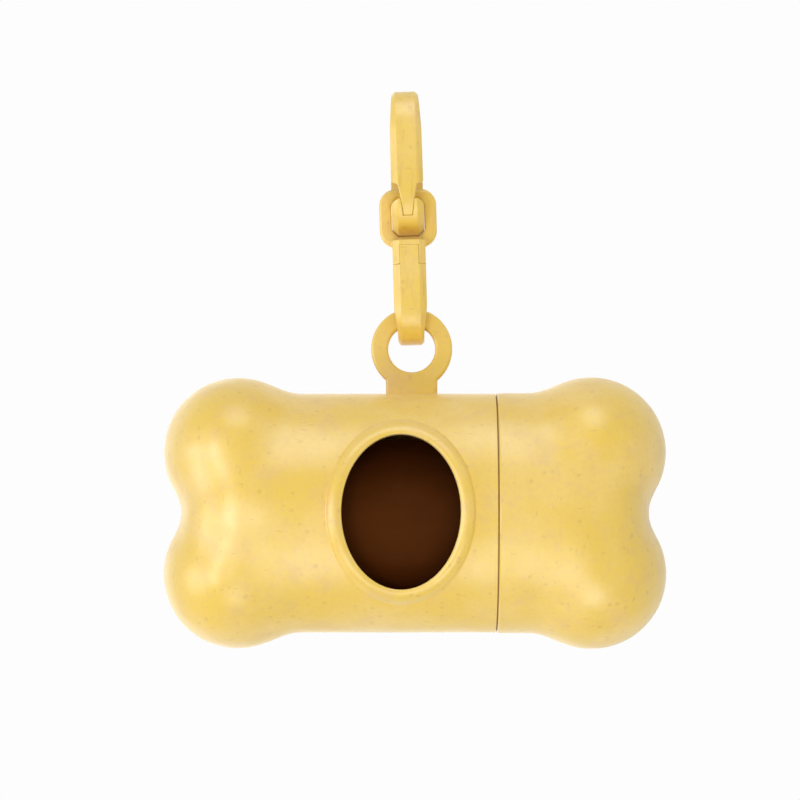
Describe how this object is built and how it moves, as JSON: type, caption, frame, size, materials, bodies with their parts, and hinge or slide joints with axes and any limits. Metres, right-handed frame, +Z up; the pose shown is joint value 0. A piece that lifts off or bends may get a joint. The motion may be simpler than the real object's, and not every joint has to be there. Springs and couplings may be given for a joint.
{
  "type": "dog waste bag dispenser",
  "caption": "Bone-shaped plastic dispenser for a roll of dog waste bags, with an oval opening, a pull-off cap and two linked snap clips to hang it from a leash.",
  "frame": {"origin": "middle of the leash clip's top bend, where a leash ring sits; the row hangs below it", "axes": "+X runs along the bone towards its cap; the oval opening faces -Y; +Z is up; the two clips lean 1.6 degrees towards -X, as they hang in the picture"},
  "size_m": [0.085, 0.0416, 0.0943],
  "materials": {
    "straw_plastic": "satin",
    "bag_film": "satin",
    "paperboard": "matte"
  },
  "bodies": {
    "leash_clip": {"leash_clip": "straw_plastic"},
    "leash_arm": {"leash_clip_arm": "straw_plastic"},
    "link": {"link_clip": "straw_plastic"},
    "link_arm": {"link_clip_arm": "straw_plastic"},
    "case": {"case_body": "straw_plastic"},
    "cap": {"case_cap": "straw_plastic"},
    "roll": {"roll_core": "paperboard", "bag_roll": "bag_film"}
  },
  "joints": [
    {"name": "leash_arm_flex", "type": "hinge", "parent": "leash_clip", "child": "leash_arm", "pos_m": [0, -0.0061, 0], "axis": [-0.9996, 0, -0.0279], "range_deg": [0, 20], "stiffness_Nm_per_rad": 0.15},
    {"name": "link_swing", "type": "hinge", "parent": "leash_clip", "child": "link", "pos_m": [0.0003, 0, -0.0106], "axis": [0.9996, 0, 0.0279], "range_deg": [-85, 85]},
    {"name": "link_arm_flex", "type": "hinge", "parent": "link", "child": "link_arm", "pos_m": [0.00083, -0.0056, -0.02959], "axis": [0.9996, 0, 0.0279], "range_deg": [0, 20], "stiffness_Nm_per_rad": 0.15},
    {"name": "case_swing", "type": "hinge", "parent": "link", "child": "case", "pos_m": [0.00103, 0, -0.03675], "axis": [0, 1, 0], "range_deg": [-80, 80]},
    {"name": "cap_pull", "type": "slide", "parent": "case", "child": "cap", "axis": [1, 0, 0], "range_m": [0, 0.03]},
    {"name": "roll_turn", "type": "hinge", "parent": "case", "child": "roll", "pos_m": [0, 0, -0.06685], "axis": [1, 0, 0], "continuous": true}
  ]
}
